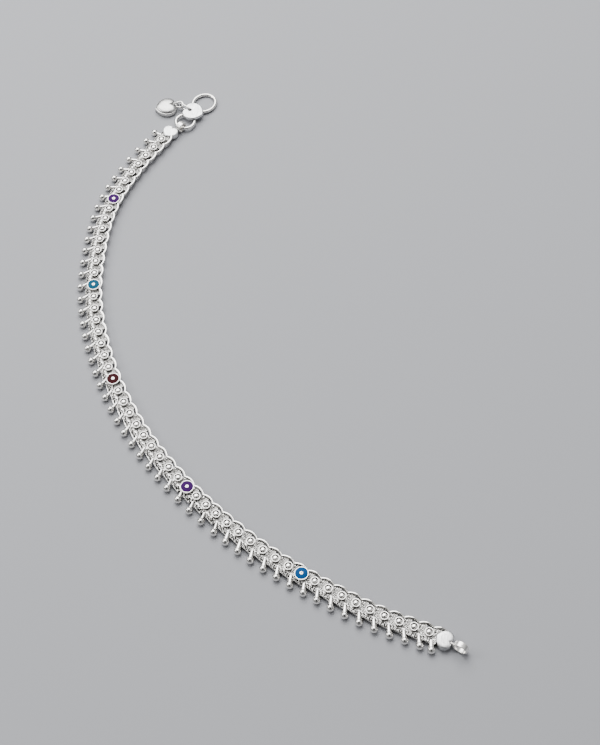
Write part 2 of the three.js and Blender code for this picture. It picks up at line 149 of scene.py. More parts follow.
# Open work between the bells: (along from the bell's root, outwards, radius) of each ring and bead
HANGING_RING = (-0.3, 1.5, 0.5)
HANGING_RING_WIRE = 0.19
HANGING_RING_LEVEL = 1.6
LACE_RINGS = [(0.75, 2.2, 0.4), (1.6, 1.8, 0.34), (2.45, 2.25, 0.36), (-1.05, 2.2, 0.34)]
LACE_BEADS = [(2.4, 1.6, 0.3), (1.6, 2.5, 0.24), (0.1, 2.5, 0.24), (3.2, 1.9, 0.24)]
LACE_WIRE = 0.15
LACE_LEVEL = 1.4
EDGE_WIRE = 0.18
EDGE_WIRE_OUT = 2.6
EDGE_WIRE_LEVEL = 1.25
EDGE_WIRE_STEPS = 12

# End caps and their rings: the distance to the ring, the heart's side it is on, and its swing there
CAP_LENGTH = 5.2
CAP_WIDTH = 5.6
CAP_THICKNESS = 2.4
CAP_EDGE = 1.95
CAP_FLATNESS = 0.3
CAP_NOTCH = 1.0
CAP_FROM_LINK = 2.8
END_RING_RADIUS = 2.2
HEAD_RING_RADIUS = 1.85
END_RING_WALL = 0.45
END_RING_WIDTH = 1.7
END_RING_EASE = 0.12
SOLDER_LEVEL = 1.5
SOLDER_RADIUS = 0.55
HEAD_TURN_DEG = -3.0
TAIL_TURN_DEG = -8.0
HEAD_RING = (4.1, -24.0, 20.0)
TAIL_RING = (4.8, 0.0, 0.0)

# S-hook and its heart plate
WIRE_RADIUS = 0.58
HOOK_SMALL_RING = 3.25
HOOK_BIG_RING = 3.8
HOOK_BIG_STRETCH = 1.14
HOOK_RING_SPACING = 11.0
HOOK_OPEN_DEG = 36.0
HOOK_IN_EYE = 0.05
HOOK_GAP = 0.35
HOOK_SWING_DEG = 15.6
HOOK_TURN_DEG = -10.6
PLATE_LENGTH = 7.4
PLATE_WIDTH = 7.6
PLATE_METAL = 1.0
PLATE_NOTCH = 1.3
PLATE_ALONG = 4.7
PLATE_ASIDE = 0.4
PLATE_SINK = 0.2
PLATE_TURN_DEG = 102.0
HOLE_RADIUS = 0.7
HOLE_ALONG = 0.45 * PLATE_LENGTH - PLATE_NOTCH - 1.15

# Charm and the two small links: the charm's puff is a slightly smaller heart, set a little off its side
CHARM_LENGTH = 7.6
CHARM_WIDTH = 7.3
CHARM_NOTCH = 1.3
CHARM_TURN_DEG = 51.0
CHARM_SIDE_TOP = 1.6
CHARM_TOP = 2.7
FLUTE_HATCH = 0.035
PUFF_SCALE = 0.97
PUFF_NOTCH_SCALE = 1.5
PUFF_EDGE = 1.74
PUFF_CENTRE = 0.3
PUFF_SHIFT = (0.12, 0.25)
DOME_STEPS = 12
SMALL_WIRE_RADIUS = 0.28
RUNNING_GAP = 0.27
PLATE_LINK_LENGTH = 4.5
PLATE_LINK_TURN_DEG = -16.0
CHARM_LINK_RADIUS = 1.3
BAIL_RADIUS = 1.05
CHARM_LINK_SAG = 0.2
BAIL_SINK = 0.12


def spline_point(t):
    """The point at share t of the route, on the same centripetal spline that the CAD part uses."""
    spans = len(ROUTE) - 1
    place = max(0.0, min(1.0, t)) * spans
    span = min(int(place), spans - 1)
    weight = place - span
    points = [Vector(p) for p in ROUTE]
    before = points[span - 1] if span > 0 else 2 * points[0] - points[1]
    after = points[span + 2] if span + 2 <= spans else 2 * points[-1] - points[-2]
    corners = [before, points[span], points[span + 1], after]
    gaps = [(corners[k + 1] - corners[k]).length ** 0.5 for k in range(3)]
    first = (corners[1] - corners[0]) / gaps[0] - (corners[2] - corners[0]) / (gaps[0] + gaps[1])
    first = (first + (corners[2] - corners[1]) / gaps[1]) * gaps[1]
    last = (corners[2] - corners[1]) / gaps[1] - (corners[3] - corners[1]) / (gaps[1] + gaps[2])
    last = (last + (corners[3] - corners[2]) / gaps[2]) * gaps[1]
    start, end = corners[1], corners[2]
    square = -3 * start + 3 * end - 2 * first - last
    cube = 2 * start - 2 * end + first + last
    return start + first * weight + square * weight ** 2 + cube * weight ** 3


def route_length():
    steps = 400
    points = [spline_point(k / steps) for k in range(steps + 1)]
    return sum((b - a).length for a, b in zip(points, points[1:]))


PITCH = route_length() / CUP_COUNT


def frame_on_route(links):
    """x runs towards the tail, y towards the inner side of the curve, z up."""
    share = max(0.0, min(1.0, links / CUP_COUNT))
    nudge = 0.0001
    ahead = spline_point(min(share + nudge, 1.0)) - spline_point(max(share - nudge, 0.0))
    along = Vector((ahead.x, ahead.y, 0)).normalized()
    inward = UP.cross(along)
    centre = spline_point(share)
    basis = Matrix((along, inward, UP)).transposed().to_4x4()
    return Matrix.Translation((centre.x, centre.y, 0)) @ basis


def frame_at_cup(cup, along=0.0):
    return frame_on_route(cup - 0.5 + along / PITCH)


def turn(degrees, axis="Z"):
    return Matrix.Rotation(math.radians(degrees), 4, axis)


def shift(x, y=0.0, z=0.0):
    return Matrix.Translation((x, y, z))


def end_frame(at_tail):
    """The heart cap's place: x leaves the chain."""
    base = frame_on_route(CUP_COUNT if at_tail else 0)
    heading = TAIL_TURN_DEG if at_tail else 180 + HEAD_TURN_DEG
    return base @ turn(heading) @ shift(CAP_FROM_LINK)


def end_ring_frame(seat):
    reach, around, swing = seat
    return turn(around) @ shift(reach) @ turn(swing)


def hook_frame():
    level = END_RING_WALL + HOOK_GAP + WIRE_RADIUS
    reach = HOOK_SMALL_RING + HOOK_RING_SPACING + HOOK_BIG_RING * HOOK_BIG_STRETCH
    tilt = math.asin((level - WIRE_RADIUS) / reach)
    eye = end_frame(False) @ end_ring_frame(HEAD_RING) @ turn(HOOK_SWING_DEG)
    centre = eye @ shift(HOOK_IN_EYE + HOOK_SMALL_RING, 0, level) @ turn(HOOK_TURN_DEG)
    return centre @ turn(math.degrees(tilt), "Y") @ shift(0, 0, -HOOK_SMALL_RING * math.sin(tilt))


def plate_frame():
    return hook_frame() @ shift(PLATE_ALONG, PLATE_ASIDE, WIRE_RADIUS - PLATE_SINK) @ turn(PLATE_TURN_DEG)


def hole_frame():
    return plate_frame() @ shift(HOLE_ALONG, 0, PLATE_METAL / 2) @ turn(PLATE_LINK_TURN_DEG)


def charm_link_frame():
    along = PLATE_LINK_LENGTH - (2 * SMALL_WIRE_RADIUS + RUNNING_GAP) + CHARM_LINK_RADIUS
    place = hole_frame() @ shift(along, 0, -CHARM_LINK_SAG)
    heading = place.to_3x3() @ Vector((1, 0, 0))
    return Matrix.Translation(place.to_translation()) @ turn(math.degrees(math.atan2(heading.y, heading.x)))


# The CAD part stands with the middle of its box over the origin, and this brings the route there
low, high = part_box("enamel_3")
seat = frame_at_cup(24).to_translation()
TO_ROW = Vector(((low[0] + high[0]) / 2 - seat.x * MM, (low[1] + high[1]) / 2 - seat.y * MM, 0))


class Body:
    """Vertices in millimetres and faces, gathered from many small shapes and made into one mesh."""

    def __init__(self):
        self.points = []
        self.faces = []

    def add(self, points, faces, place=Matrix()):
        base = len(self.points)
        self.points.extend(place @ Vector(p) for p in points)
        self.faces.extend([base + k for k in face] for face in faces)

    def finish(self, name, node, slot, material, smooth_deg=40.0):
        mesh = bpy.data.meshes.new(name)
        mesh.from_pydata([p * MM + TO_ROW for p in self.points], [], self.faces)
        mesh.validate()
        mesh.polygons.foreach_set("use_smooth", [True] * len(mesh.polygons))
        mesh.set_sharp_from_angle(angle=math.radians(smooth_deg))
        mesh.materials.append(material)
        piece = bpy.data.objects.new(name, mesh)
        bpy.context.scene.collection.objects.link(piece)
        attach(piece, "root")
        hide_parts(node)
        return piece


def bridged(rings, sides, closed=False):
    """Faces between rings that follow each other; a ring of one point is a pole."""
    faces = []
    pairs = list(zip(rings, rings[1:]))
    if closed:
        pairs.append((rings[-1], rings[0]))
    for lower, upper in pairs:
        for side in range(sides):
            ahead = (side + 1) % sides
            if len(lower) == 1:
                faces.append((lower[0], upper[ahead], upper[side]))
            elif len(upper) == 1:
                faces.append((lower[side], lower[ahead], upper[0]))
            else:
                faces.append((lower[side], lower[ahead], upper[ahead], upper[side]))
    return faces


def lathe(profile, sides, closed=False):
    """A turned shape round z from (radius, z) pairs; a radius of 0 is a point on the axis. A closed
    profile makes a ring."""
    points = []
    rings = []
    for radius, z in profile:
        if radius == 0:
            rings.append([len(points)])
            points.append((0, 0, z))
            continue
        rings.append(list(range(len(points), len(points) + sides)))
        for side in range(sides):
            angle = 2 * math.pi * side / sides
            points.append((radius * math.cos(angle), radius * math.sin(angle), z))
    return points, bridged(rings, sides, closed)


def tube(path, radii, sides=8, closed=False, flatten=1.0):
    """A round wire along points; flatten squeezes its height. An open wire has rounded ends."""
    path = [Vector(p) for p in path]
    count = len(path)
    if not isinstance(radii, (list, tuple)):
        radii = [radii] * count
    points = []
    rings = []
    for k, centre in enumerate(path):
        if closed:
            along = path[(k + 1) % count] - path[k - 1]
        else:
            along = path[min(k + 1, count - 1)] - path[max(k - 1, 0)]
        along.normalize()
        aside = UP.cross(along)
        if aside.length < 1e-6:
            aside = Vector((1, 0, 0))
        aside.normalize()
        rise = along.cross(aside)
        rings.append(list(range(len(points), len(points) + sides)))
        for side in range(sides):
            angle = 2 * math.pi * side / sides
            across = aside * radii[k] * math.cos(angle) + rise * radii[k] * flatten * math.sin(angle)
            points.append(centre + across)
    if not closed:
        poles = []
        for end, inner in ((0, 1), (count - 1, count - 2)):
            outward = (path[end] - path[inner]).normalized()
            poles.append(len(points))
            points.append(path[end] + outward * radii[end] * 0.6)
        rings = [[poles[0]]] + rings + [[poles[1]]]
    return points, bridged(rings, sides, closed)


def ring(radius, wire, stretch=0.0, steps=32, sides=12):
    """A closed wire ring lying level, stretched along x."""
    path = []
    for step in range(steps):
        angle = 2 * math.pi * (step + 0.5) / steps
        x = radius * math.cos(angle)
        path.append((x + math.copysign(stretch / 2, x), radius * math.sin(angle), 0))
    return tube(path, wire, sides, closed=True)


def bead(radius, sides, rows):
    angles = [math.pi * k / rows for k in range(rows + 1)]
    profile = [(radius * math.sin(a), -radius * math.cos(a)) for a in angles]
    profile[0] = (0, -radius)
    profile[-1] = (0, radius)
    return lathe(profile, sides)


def inside(x, y, outline):
    hit = False
    for (ax, ay), (bx, by) in zip(outline, outline[1:] + outline[:1]):
        if (ay > y) != (by > y) and x < ax + (y - ay) * (bx - ax) / (by - ay):
            hit = not hit
    return hit


def slab(outline, levels, holes=()):
    """A plate from a counter-clockwise outline. levels are (scale, z) from the underside up; holes go
    straight through."""
    def scaled(scale):
        return [(x * scale, y * scale) for x, y in outline]

    points = []
    rings = []
    for scale, z in levels:
        rings.append(list(range(len(points), len(points) + len(outline))))
        points.extend((x, y, z) for x, y in scaled(scale))
    faces = bridged(rings, len(outline))
    for hole in holes:
        bottom = list(range(len(points), len(points) + len(hole)))
        points.extend((x, y, levels[0][1]) for x, y in hole)
        top = list(range(len(points), len(points) + len(hole)))
        points.extend((x, y, levels[-1][1]) for x, y in hole)
        faces.extend((bottom[k], top[k], top[(k + 1) % len(hole)], bottom[(k + 1) % len(hole)])
                     for k in range(len(hole)))
    for (scale, z), upward in ((levels[0], False), (levels[-1], True)):
        loops = [scaled(scale)] + [list(hole) for hole in holes]
        flat = [Vector(p) for loop in loops for p in loop]
        edges = []
        for loop in loops:
            base = len(edges)
            edges.extend((base + k, base + (k + 1) % len(loop)) for k in range(len(loop)))
        found, _, triangles, _, _, _ = delaunay_2d_cdt(flat, edges, [], 1, 1e-5)
        base = len(points)
        points.extend((p.x, p.y, z) for p in found)
        for triangle in triangles:
            x = sum(found[k].x for k in triangle) / 3
            y = sum(found[k].y for k in triangle) / 3
            if inside(x, y, loops[0]) and not any(inside(x, y, hole) for hole in loops[1:]):
                order = triangle if upward else triangle[::-1]
                faces.append([base + k for k in order])
    return points, faces


def bezier(start, first, second, end, steps):
    points = []
    for step in range(steps):
        t = step / steps
        weights = ((1 - t) ** 3, 3 * t * (1 - t) ** 2, 3 * t * t * (1 - t), t ** 3)
        corners = (start, first, second, end)
        points.append(tuple(sum(w * c[axis] for w, c in zip(weights, corners)) for axis in (0, 1)))
    return points


def heart(length, width, notch, steps=12):
    """The outline of a heart with its tip on -x and its notch on +x."""
    tip = -0.55 * length
    crown = 0.45 * length
    dip = crown - notch
    side = width / 2
    wide = 0.02 * length
    outline = bezier((tip, 0), (tip * 0.8, -side * 0.55), (tip * 0.5, -side), (wide, -side), steps)
    outline += bezier((wide, -side), (crown * 0.75, -side), (crown * 1.25, -side * 0.3), (dip, 0), steps)
    outline += bezier((dip, 0), (crown * 1.25, side * 0.3), (crown * 0.75, side), (wide, side), steps)
    outline += bezier((wide, side), (tip * 0.5, side), (tip * 0.8, side * 0.55), (tip, 0), steps)
    return outline


def crowned(outline, levels, top, hatch=0.0):
    """A closed puffy shape: levels are (scale, z) from the underside up, then one point on top. hatch
    draws every second point of the first levels in, for a side of fine upright flutes."""
    points = [(0, 0, levels[0][1])]
    rings = [[0]]
    for scale, z in levels:
        rings.append(list(range(len(points), len(points) + len(outline))))
        for k, (x, y) in enumerate(outline):
            drawn = scale - (hatch if k % 2 else 0.0)
            points.append((x * drawn, y * drawn, z))
    rings.append([len(points)])
    points.append((0, 0, top))
    return points, bridged(rings, len(outline))


def linear(hex_colour):
    """An sRGB colour such as #D9D9D6 as linear red, green, blue and alpha."""
    channels = [int(hex_colour[k:k + 2], 16) / 255 for k in (1, 3, 5)]
    return tuple(c / 12.92 if c <= 0.04045 else ((c + 0.055) / 1.055) ** 2.4 for c in channels) + (1.0,)


def node(tree, kind, links=(), **settings):
    """Adds a node. settings that name an input set its value, others set the node's own property; links
    are (input name, output socket) pairs."""
    made = tree.nodes.new(kind)
    for key, value in settings.items():
        label = key.replace("_", " ").title()
        if label in made.inputs:
            made.inputs[label].default_value = value
        else:
            setattr(made, key, value)
    for name, socket in links:
        tree.links.new(socket, made.inputs[name])
    return made


def empty_material(name):
    material = bpy.data.materials.new(name)
    material.use_nodes = True
    material.node_tree.nodes.clear()
    return material, material.node_tree


def silver(name, colour, shade, roughness, spread, grain_mm, grain_depth, dent_mm, dent_depth,
           brushed=1.0, fleck=0.0):
    """A silver finish. Recesses are darkened towards the shade colour by an ambient occlusion node, which is
    painted shade;
    the roughness varies in patches from hand polish, grain is the fine surface left by blasting or stamping,
    and dents are the soft waves of small castings.
    The real grain is under 0.1 mm, too fine to show, so it is drawn two to four times as coarse. brushed
    under 1 draws the grain out into strokes, and fleck lets the grain show as a change of tone."""
    material, tree = empty_material(name)
    place = node(tree, "ShaderNodeTexCoord").outputs["Object"]
    strokes = node(tree, "ShaderNodeMapping", [("Vector", place)], rotation=(0, 0, math.radians(-70)),
                   scale=(1, brushed, 1)).outputs["Vector"]
    grain = node(tree, "ShaderNodeTexNoise", [("Vector", strokes)], scale=1 / (grain_mm * MM), detail=2.0)
    dent = node(tree, "ShaderNodeTexNoise", [("Vector", place)], scale=1 / (dent_mm * MM), detail=3.0)
    # Painted shade: the occlusion node darkens the colour towards the shade colour in recesses, where shade
    # falls
    recess = node(tree, "ShaderNodeAmbientOcclusion", distance=0.9 * MM, samples=8)
    depth = node(tree, "ShaderNodeMapRange", [("Value", recess.outputs["AO"])], from_min=0.2, from_max=0.85)
    tone = node(tree, "ShaderNodeMapRange", [("Value", grain.outputs["Fac"])], from_min=0.35, from_max=0.62,
                to_min=1 - fleck, to_max=1.0)
    bright_share = node(tree, "ShaderNodeMath", [(0, depth.outputs["Result"]), (1, tone.outputs["Result"])],
                 operation="MULTIPLY")
    tint = node(tree, "ShaderNodeMix", [("Factor", bright_share.outputs["Value"])], data_type="RGBA")
    tint.inputs["A"].default_value = linear(shade)
    tint.inputs["B"].default_value = linear(colour)
    rough = node(tree, "ShaderNodeMapRange", [("Value", dent.outputs["Fac"])], from_min=0.3, from_max=0.7,
                 to_min=roughness - spread, to_max=roughness + spread)
    waves = node(tree, "ShaderNodeBump", [("Height", dent.outputs["Fac"])], strength=1.0,
                 distance=dent_depth * MM)
    grains = node(tree, "ShaderNodeBump",
                  [("Height", grain.outputs["Fac"]), ("Normal", waves.outputs["Normal"])],
                  strength=1.0, distance=grain_depth * MM)
    shader = node(tree, "ShaderNodeBsdfPrincipled",
                  [("Base Color", tint.outputs["Result"]), ("Roughness", rough.outputs["Result"]),
                   ("Normal", grains.outputs["Normal"])], metallic=1.0)
    node(tree, "ShaderNodeOutputMaterial", [("Surface", shader.outputs["BSDF"])])
    return material


def enamel(name, colour):
    """Glassy vitreous enamel, fired in a cup: a deep colour that pools a little darker in places, under
    a clear, nearly flat gloss."""
    material, tree = empty_material(name)
    place = node(tree, "ShaderNodeTexCoord").outputs["Object"]
    pool = node(tree, "ShaderNodeTexNoise", [("Vector", place)], scale=1 / (0.9 * MM), detail=2.0)
    tint = node(tree, "ShaderNodeMix", [("Factor", pool.outputs["Fac"])], data_type="RGBA")
    base = linear(colour)
    tint.inputs["A"].default_value = base
    tint.inputs["B"].default_value = tuple(0.55 * c for c in base[:3]) + (1.0,)
    ripple = node(tree, "ShaderNodeBump", [("Height", pool.outputs["Fac"])], strength=1.0, distance=0.01 * MM)
    shader = node(tree, "ShaderNodeBsdfPrincipled",
                  [("Base Color", tint.outputs["Result"]), ("Normal", ripple.outputs["Normal"])],
                  roughness=0.3)
    shader.inputs["Specular IOR Level"].default_value = 0.04
    node(tree, "ShaderNodeOutputMaterial", [("Surface", shader.outputs["BSDF"])])
    return material


# Each finish's second colour is the painted shade that silver() lays into recesses by occlusion
# Rims, cups, bells and wires: cast or drawn silver, buffed by hand, so it mirrors but a little softly
POLISHED = silver("polished silver", "#F6F4F0", "#3A3835", 0.14, 0.05, 0.35, 0.004, 0.9, 0.02)
# The web and its granules: matt silver from pickling, bright on top with painted shade in the hollows
MATTED = silver("granulated silver", "#ECEAE6", "#2C2A28", 0.34, 0.08, 0.16, 0.02, 0.7, 0.03)
# The ground under the open work: a plate left unpolished and coloured nearly black, as painted shade in the
# gaps of the open work
SHADE_DARK_GROUND = silver("silver ground painted dark as shade", "#35332F", "#0C0B0A", 0.5, 0.06, 0.2, 0.02, 0.7, 0.02)
# The charm: pressed from sheet and tumbled, so its puffed face shades softly from bright to grey
SATIN = silver("satin silver", "#CECDCB", "#2A2826", 0.32, 0.04, 0.2, 0.008, 1.2, 0.02, 0.3, 0.15)
# The end rings: flat strip rolled and buffed lightly, so the highlight spreads along the band
BAND = silver("burnished silver strip", "#F6F4F0", "#3A3835", 0.34, 0.05, 0.2, 0.006, 0.9, 0.02)
# Hearts: frosted with a wire brush, so light spreads softly with faint grey strokes
FROSTED = silver("frosted silver", "#F2F2F2", "#6F7073", 0.36, 0.05, 0.2, 0.015, 0.8, 0.015, 0.1, 0.5)


def half_of(links):
    return "chain_upper" if links < SPLIT_LINK - SPLIT_SHARE else "chain_lower"


def bell_trail(cup):
    for (first, start), (last, stop) in zip(BELL_TRAIL, BELL_TRAIL[1:]):
        if cup <= last:
            return start + (stop - start) * (cup - first) / (last - first)
    return BELL_TRAIL[-1][1]


def arc(radius, from_deg, to_deg, steps, centre=(0.0, 0.0)):
    angles = [math.radians(from_deg + (to_deg - from_deg) * k / steps) for k in range(steps + 1)]
    return [(centre[0] + radius * math.cos(a), centre[1] + radius * math.sin(a)) for a in angles]


# Every arch's outer edge is one arc, from its notches and its top
ARCH_SAGITTA = ARCH_TOP - ARCH_NOTCH
ARCH_RADIUS = ((PITCH / 2) ** 2 + ARCH_SAGITTA ** 2) / (2 * ARCH_SAGITTA)
ARCH_CENTRE = (ARCH_SHIFT, ARCH_TOP - ARCH_RADIUS)


def arch(radius, x):
    """The y of the arc of that radius round the arch's centre."""
    return ARCH_CENTRE[1] + math.sqrt(max(0.0, radius ** 2 - (x - ARCH_CENTRE[0]) ** 2))


def web_outline():
    """The plate of one link up to its rim, between the notches. Its outer edge is toothed, where it
    meets the open work."""
    radius = ARCH_RADIUS - RIM_WIRE
    steps = 12
    start = ARCH_SHIFT + PITCH / 2
    scallop = [(start - PITCH * k / steps, arch(radius, start - PITCH * k / steps)) for k in range(steps + 1)]
    outer = [(-PITCH / 2 + PITCH * k / WEB_TEETH, -WEB_OUTER_EDGE - (0.25 if k % 2 else -0.2))
             for k in range(WEB_TEETH + 1)]
    return scallop + [(-PITCH / 2, 0.6)] + outer + [(PITCH / 2, 0.6)]


def web_slot():
    """The pierced crescent between the next cup and the rim."""
    clearance = 0.02
    radius = ARCH_RADIUS - 2 * RIM_WIRE + clearance
    steps = 6
    places = [SLOT_END - SLOT_LENGTH * k / steps for k in range(steps + 1)]
    rim_side = [(x, arch(radius, x)) for x in places]
    return rim_side + arc(CUP_RADIUS + clearance, 142, 74, steps, (PITCH / 2, 0))


def rim_path(offset, level, steps, span):
    """A wire along that share of the arch, offset in from its outer edge; its tail end dips under the
    next one."""
    path = []
    for k in range(steps + 1):
        share = k / steps
        x = ARCH_SHIFT + PITCH * (share * span - 0.5)
        path.append((x, arch(ARCH_RADIUS - offset, x), level - RIM_DIP * max(0.0, share - 0.5)))
    return path


def rim(span, fluted):
    """The raised rim of one link: it tapers to the tail end, where the lower half's rims have small
    flutes."""
    radii = []
    for k in range(RIM_STEPS + 1):
        share = k / RIM_STEPS
        flute = FLUTE_DEPTH if fluted and share > FLUTE_FROM and k % 2 else 0.0
        radii.append(RIM_WIRE * (RIM_START - RIM_TAPER * share - flute))
    return tube(rim_path(RIM_WIRE, RIM_LEVEL, RIM_STEPS, span), radii, 12, flatten=RIM_FLATTEN)


def grain_spots():
    """The places of the granules on one link's web, in rows, clear of its cups, slot and rings."""
    spots = []
    outline = web_outline()
    slot = web_slot()
    for row in range(-5, 9):
        y = row * GRAIN_SPACING * 0.866
        for column in range(-7, 12):
            x = (column + 0.5 * (row % 2)) * GRAIN_SPACING
            from_cups = min(math.hypot(x - cup, y) for cup in (-PITCH / 2, PITCH / 2))
            from_rings = min(math.hypot(x - a, y - b) for a, b in CURLS + [PETAL])
            clear = inside(x, y, outline) and not inside(x, y, slot)
            clear = clear and abs(x) < PITCH / 2 + 1.2 and y > 0.25 - WEB_OUTER_EDGE
            clear = clear and y < arch(ARCH_RADIUS - 3 * RIM_WIRE, x)
            clear = clear and from_cups >= CUP_RADIUS + 0.1 and from_rings >= 0.5
            if clear:
                spots.append((x, y))
    return spots


# Turned shapes as (radius, height): the cup with the stud in it, and the wide cup with its eyelet
CUP = [
    (0, 0.3), (CUP_RADIUS, 0.3), (CUP_RADIUS, CUP_HEIGHT - 0.1), (CUP_RADIUS - 0.09, CUP_HEIGHT),
    (CUP_RADIUS - CUP_WALL + 0.05, CUP_HEIGHT), (CUP_RADIUS - CUP_WALL, CUP_HEIGHT - 0.06),
    (CUP_RADIUS - CUP_WALL, CUP_HEIGHT - 0.65), (0.3, CUP_HEIGHT - 0.65), (0, CUP_HEIGHT - 0.65),
]
STUD = [
    (0, CUP_HEIGHT - 0.7), (STUD_RADIUS - 0.1, CUP_HEIGHT - 0.7), (STUD_RADIUS, CUP_HEIGHT - 0.4),
    (STUD_RADIUS, CUP_HEIGHT - 0.1), (STUD_RADIUS - 0.05, CUP_HEIGHT + 0.05),
    (STUD_RADIUS - 0.18, CUP_HEIGHT + 0.15), (STUD_RADIUS - 0.38, CUP_HEIGHT + 0.21), (0, CUP_HEIGHT + 0.24),
]
ENAMEL_CUP_INNER = ENAMEL_CUP_RADIUS - ENAMEL_CUP_WALL
ENAMEL_CUP = [
    (0, 0.3), (ENAMEL_CUP_RADIUS, 0.3), (ENAMEL_CUP_RADIUS, CUP_HEIGHT - 0.06),
    (ENAMEL_CUP_RADIUS - 0.07, CUP_HEIGHT + 0.02), (ENAMEL_CUP_INNER + 0.03, CUP_HEIGHT + 0.02),
    (ENAMEL_CUP_INNER, CUP_HEIGHT - 0.03), (ENAMEL_CUP_INNER, CUP_HEIGHT - 0.5),
    (0.2, CUP_HEIGHT - 0.5), (0, CUP_HEIGHT - 0.5),
]
EYELET = [
    (EYELET_HOLE, CUP_HEIGHT - 0.45), (EYELET_RADIUS, CUP_HEIGHT - 0.45), (EYELET_RADIUS, CUP_HEIGHT + 0.04),
    (EYELET_RADIUS - 0.04, CUP_HEIGHT + 0.14), (EYELET_RADIUS - 0.12, CUP_HEIGHT + 0.18),
    (EYELET_HOLE + 0.1, CUP_HEIGHT + 0.18), (EYELET_HOLE + 0.03, CUP_HEIGHT + 0.13),
    (EYELET_HOLE, CUP_HEIGHT + 0.05),
]


def build_chain():
    halves = ("chain_upper", "chain_lower")
    webs, grounds, rims, cups, bells = ({half: Body() for half in halves} for _ in range(5))
    levels = [(0.97, WEB_BOTTOM), (1.0, WEB_BOTTOM + WEB_EASE), (1.0, WEB_TOP - WEB_EASE), (0.98, WEB_TOP)]
    web = slab(web_outline(), levels, [web_slot()])
    side = PITCH / 2 + 0.05
    strip = [(-side, -GROUND_EDGE), (side, -GROUND_EDGE), (side, -GROUND_INNER), (-side, -GROUND_INNER)]
    ground = slab(strip, [(1.0, GROUND_BOTTOM), (1.0, GROUND_TOP)])
    rim_wires = {half: rim(RIM_SPAN, half == "chain_lower") for half in halves}
    last_rim = rim(LAST_RIM_SPAN, False)
    inner_path = rim_path(RIM_WIRE + INNER_WIRE_OFFSET, INNER_WIRE_LEVEL, INNER_WIRE_STEPS, INNER_WIRE_SPAN)
    inner_wire = tube(inner_path, INNER_WIRE, 8)
    petal = ring(PETAL_RADIUS, PETAL_WIRE, PETAL_STRETCH, steps=18, sides=8)
    curl = ring(CURL_RADIUS, CURL_WIRE, steps=14, sides=8)
    grain = lathe([(GRAIN_RADIUS, 0), (GRAIN_RADIUS * 0.85, 0.11), (GRAIN_RADIUS * 0.5, 0.18), (0, 0.2)], 8)
    spots = grain_spots()
    for link in range(LINK_COUNT):
        half = half_of(link)
        place = frame_on_route(link)
        webs[half].add(*web, place)
        grounds[half].add(*ground, place)
        rims[half].add(*(last_rim if link == LINK_COUNT - 1 else rim_wires[half]), place)
        rims[half].add(*inner_wire, place)
        rims[half].add(*petal, place @ shift(*PETAL, WEB_TOP + 0.12) @ turn(PETAL_TURN_DEG))
        for x, y in CURLS:
            rims[half].add(*curl, place @ shift(x, y, WEB_TOP + 0.1))
        for x, y in spots:
            webs[half].add(*grain, place @ shift(x, y, WEB_TOP - 0.02))
    cup_shape = lathe(CUP, 24)
    stud = lathe(STUD, 18)
    enamel_cups = {cup for cup, _, _ in ENAMELS}
    for cup in range(1, CUP_COUNT + 1):
        half = half_of(cup - 0.5)
        place = frame_at_cup(cup)
        if cup in enamel_cups:
            cups[half].add(*lathe(ENAMEL_CUP, 36), place)
            cups[half].add(*lathe(EYELET, 24, closed=True), place)
        else:
            cups[half].add(*cup_shape, place)
            cups[half].add(*stud, place)
        add_bell(bells, cup)
    for half in halves:
        tag = half.split("_")[1]
        webs[half].finish(f"link_webs_{tag}", half, "satin_silver", MATTED)
        # The ground gets the near-black finish: painted shade under the open work
        grounds[half].finish(f"link_grounds_{tag}", half, "polished_silver", SHADE_DARK_GROUND)
        rims[half].finish(f"link_rims_{tag}", half, "polished_silver", POLISHED)
        cups[half].finish(f"cups_{tag}", half, "polished_silver", POLISHED)
        bells[half].finish(f"bells_{tag}", half, "polished_silver", POLISHED)


def add_bell(bells, cup):
    """A ball on a thick neck that leans towards the tail, hung under a small ring, and the open work of
    rings, granules and edge wire between it and the next bell."""
    trail = bell_trail(cup)
    root_along = trail - BELL_LEAN
    centre = frame_at_cup(cup, trail) @ Vector((0, -BELL_REACH, BELL_RADIUS))
    root = frame_at_cup(cup, root_along) @ Vector((0, -BELL_ROOT, BELL_RADIUS + 0.15))
    body = bells[half_of(cup - 0.5 + root_along / PITCH)]
    body.add(*bead(BELL_RADIUS, 24, 16), shift(*centre))
    radii = STOUT_NECK if cup > STOUT_AFTER_CUP else NECK
    body.add(*tube([root.lerp(centre, k / (len(radii) - 1)) for k in range(len(radii))], radii, 14))

    def spot(along, out, level):
        return frame_at_cup(cup, root_along + along) @ shift(0, -out, level)

    along, out, size = HANGING_RING
    body.add(*ring(size, HANGING_RING_WIRE, steps=20, sides=8), spot(along, out, HANGING_RING_LEVEL))
    for along, out, size in LACE_RINGS:
        body.add(*ring(size, LACE_WIRE, steps=16, sides=8), spot(along, out, LACE_LEVEL))
    for along, out, size in LACE_BEADS:
        body.add(*bead(size, 10, 8), spot(along, out, LACE_LEVEL))
    if cup == CUP_COUNT:
        return
    wire = []
    for k in range(EDGE_WIRE_STEPS + 1):
        share = k / EDGE_WIRE_STEPS
        out = EDGE_WIRE_OUT - 0.15 * math.sin(math.pi * min(1.0, share * 1.6)) + 0.2 * share ** 2
        wire.append(spot(share * PITCH, out, EDGE_WIRE_LEVEL).to_translation())
    body.add(*tube(wire, EDGE_WIRE, 8))


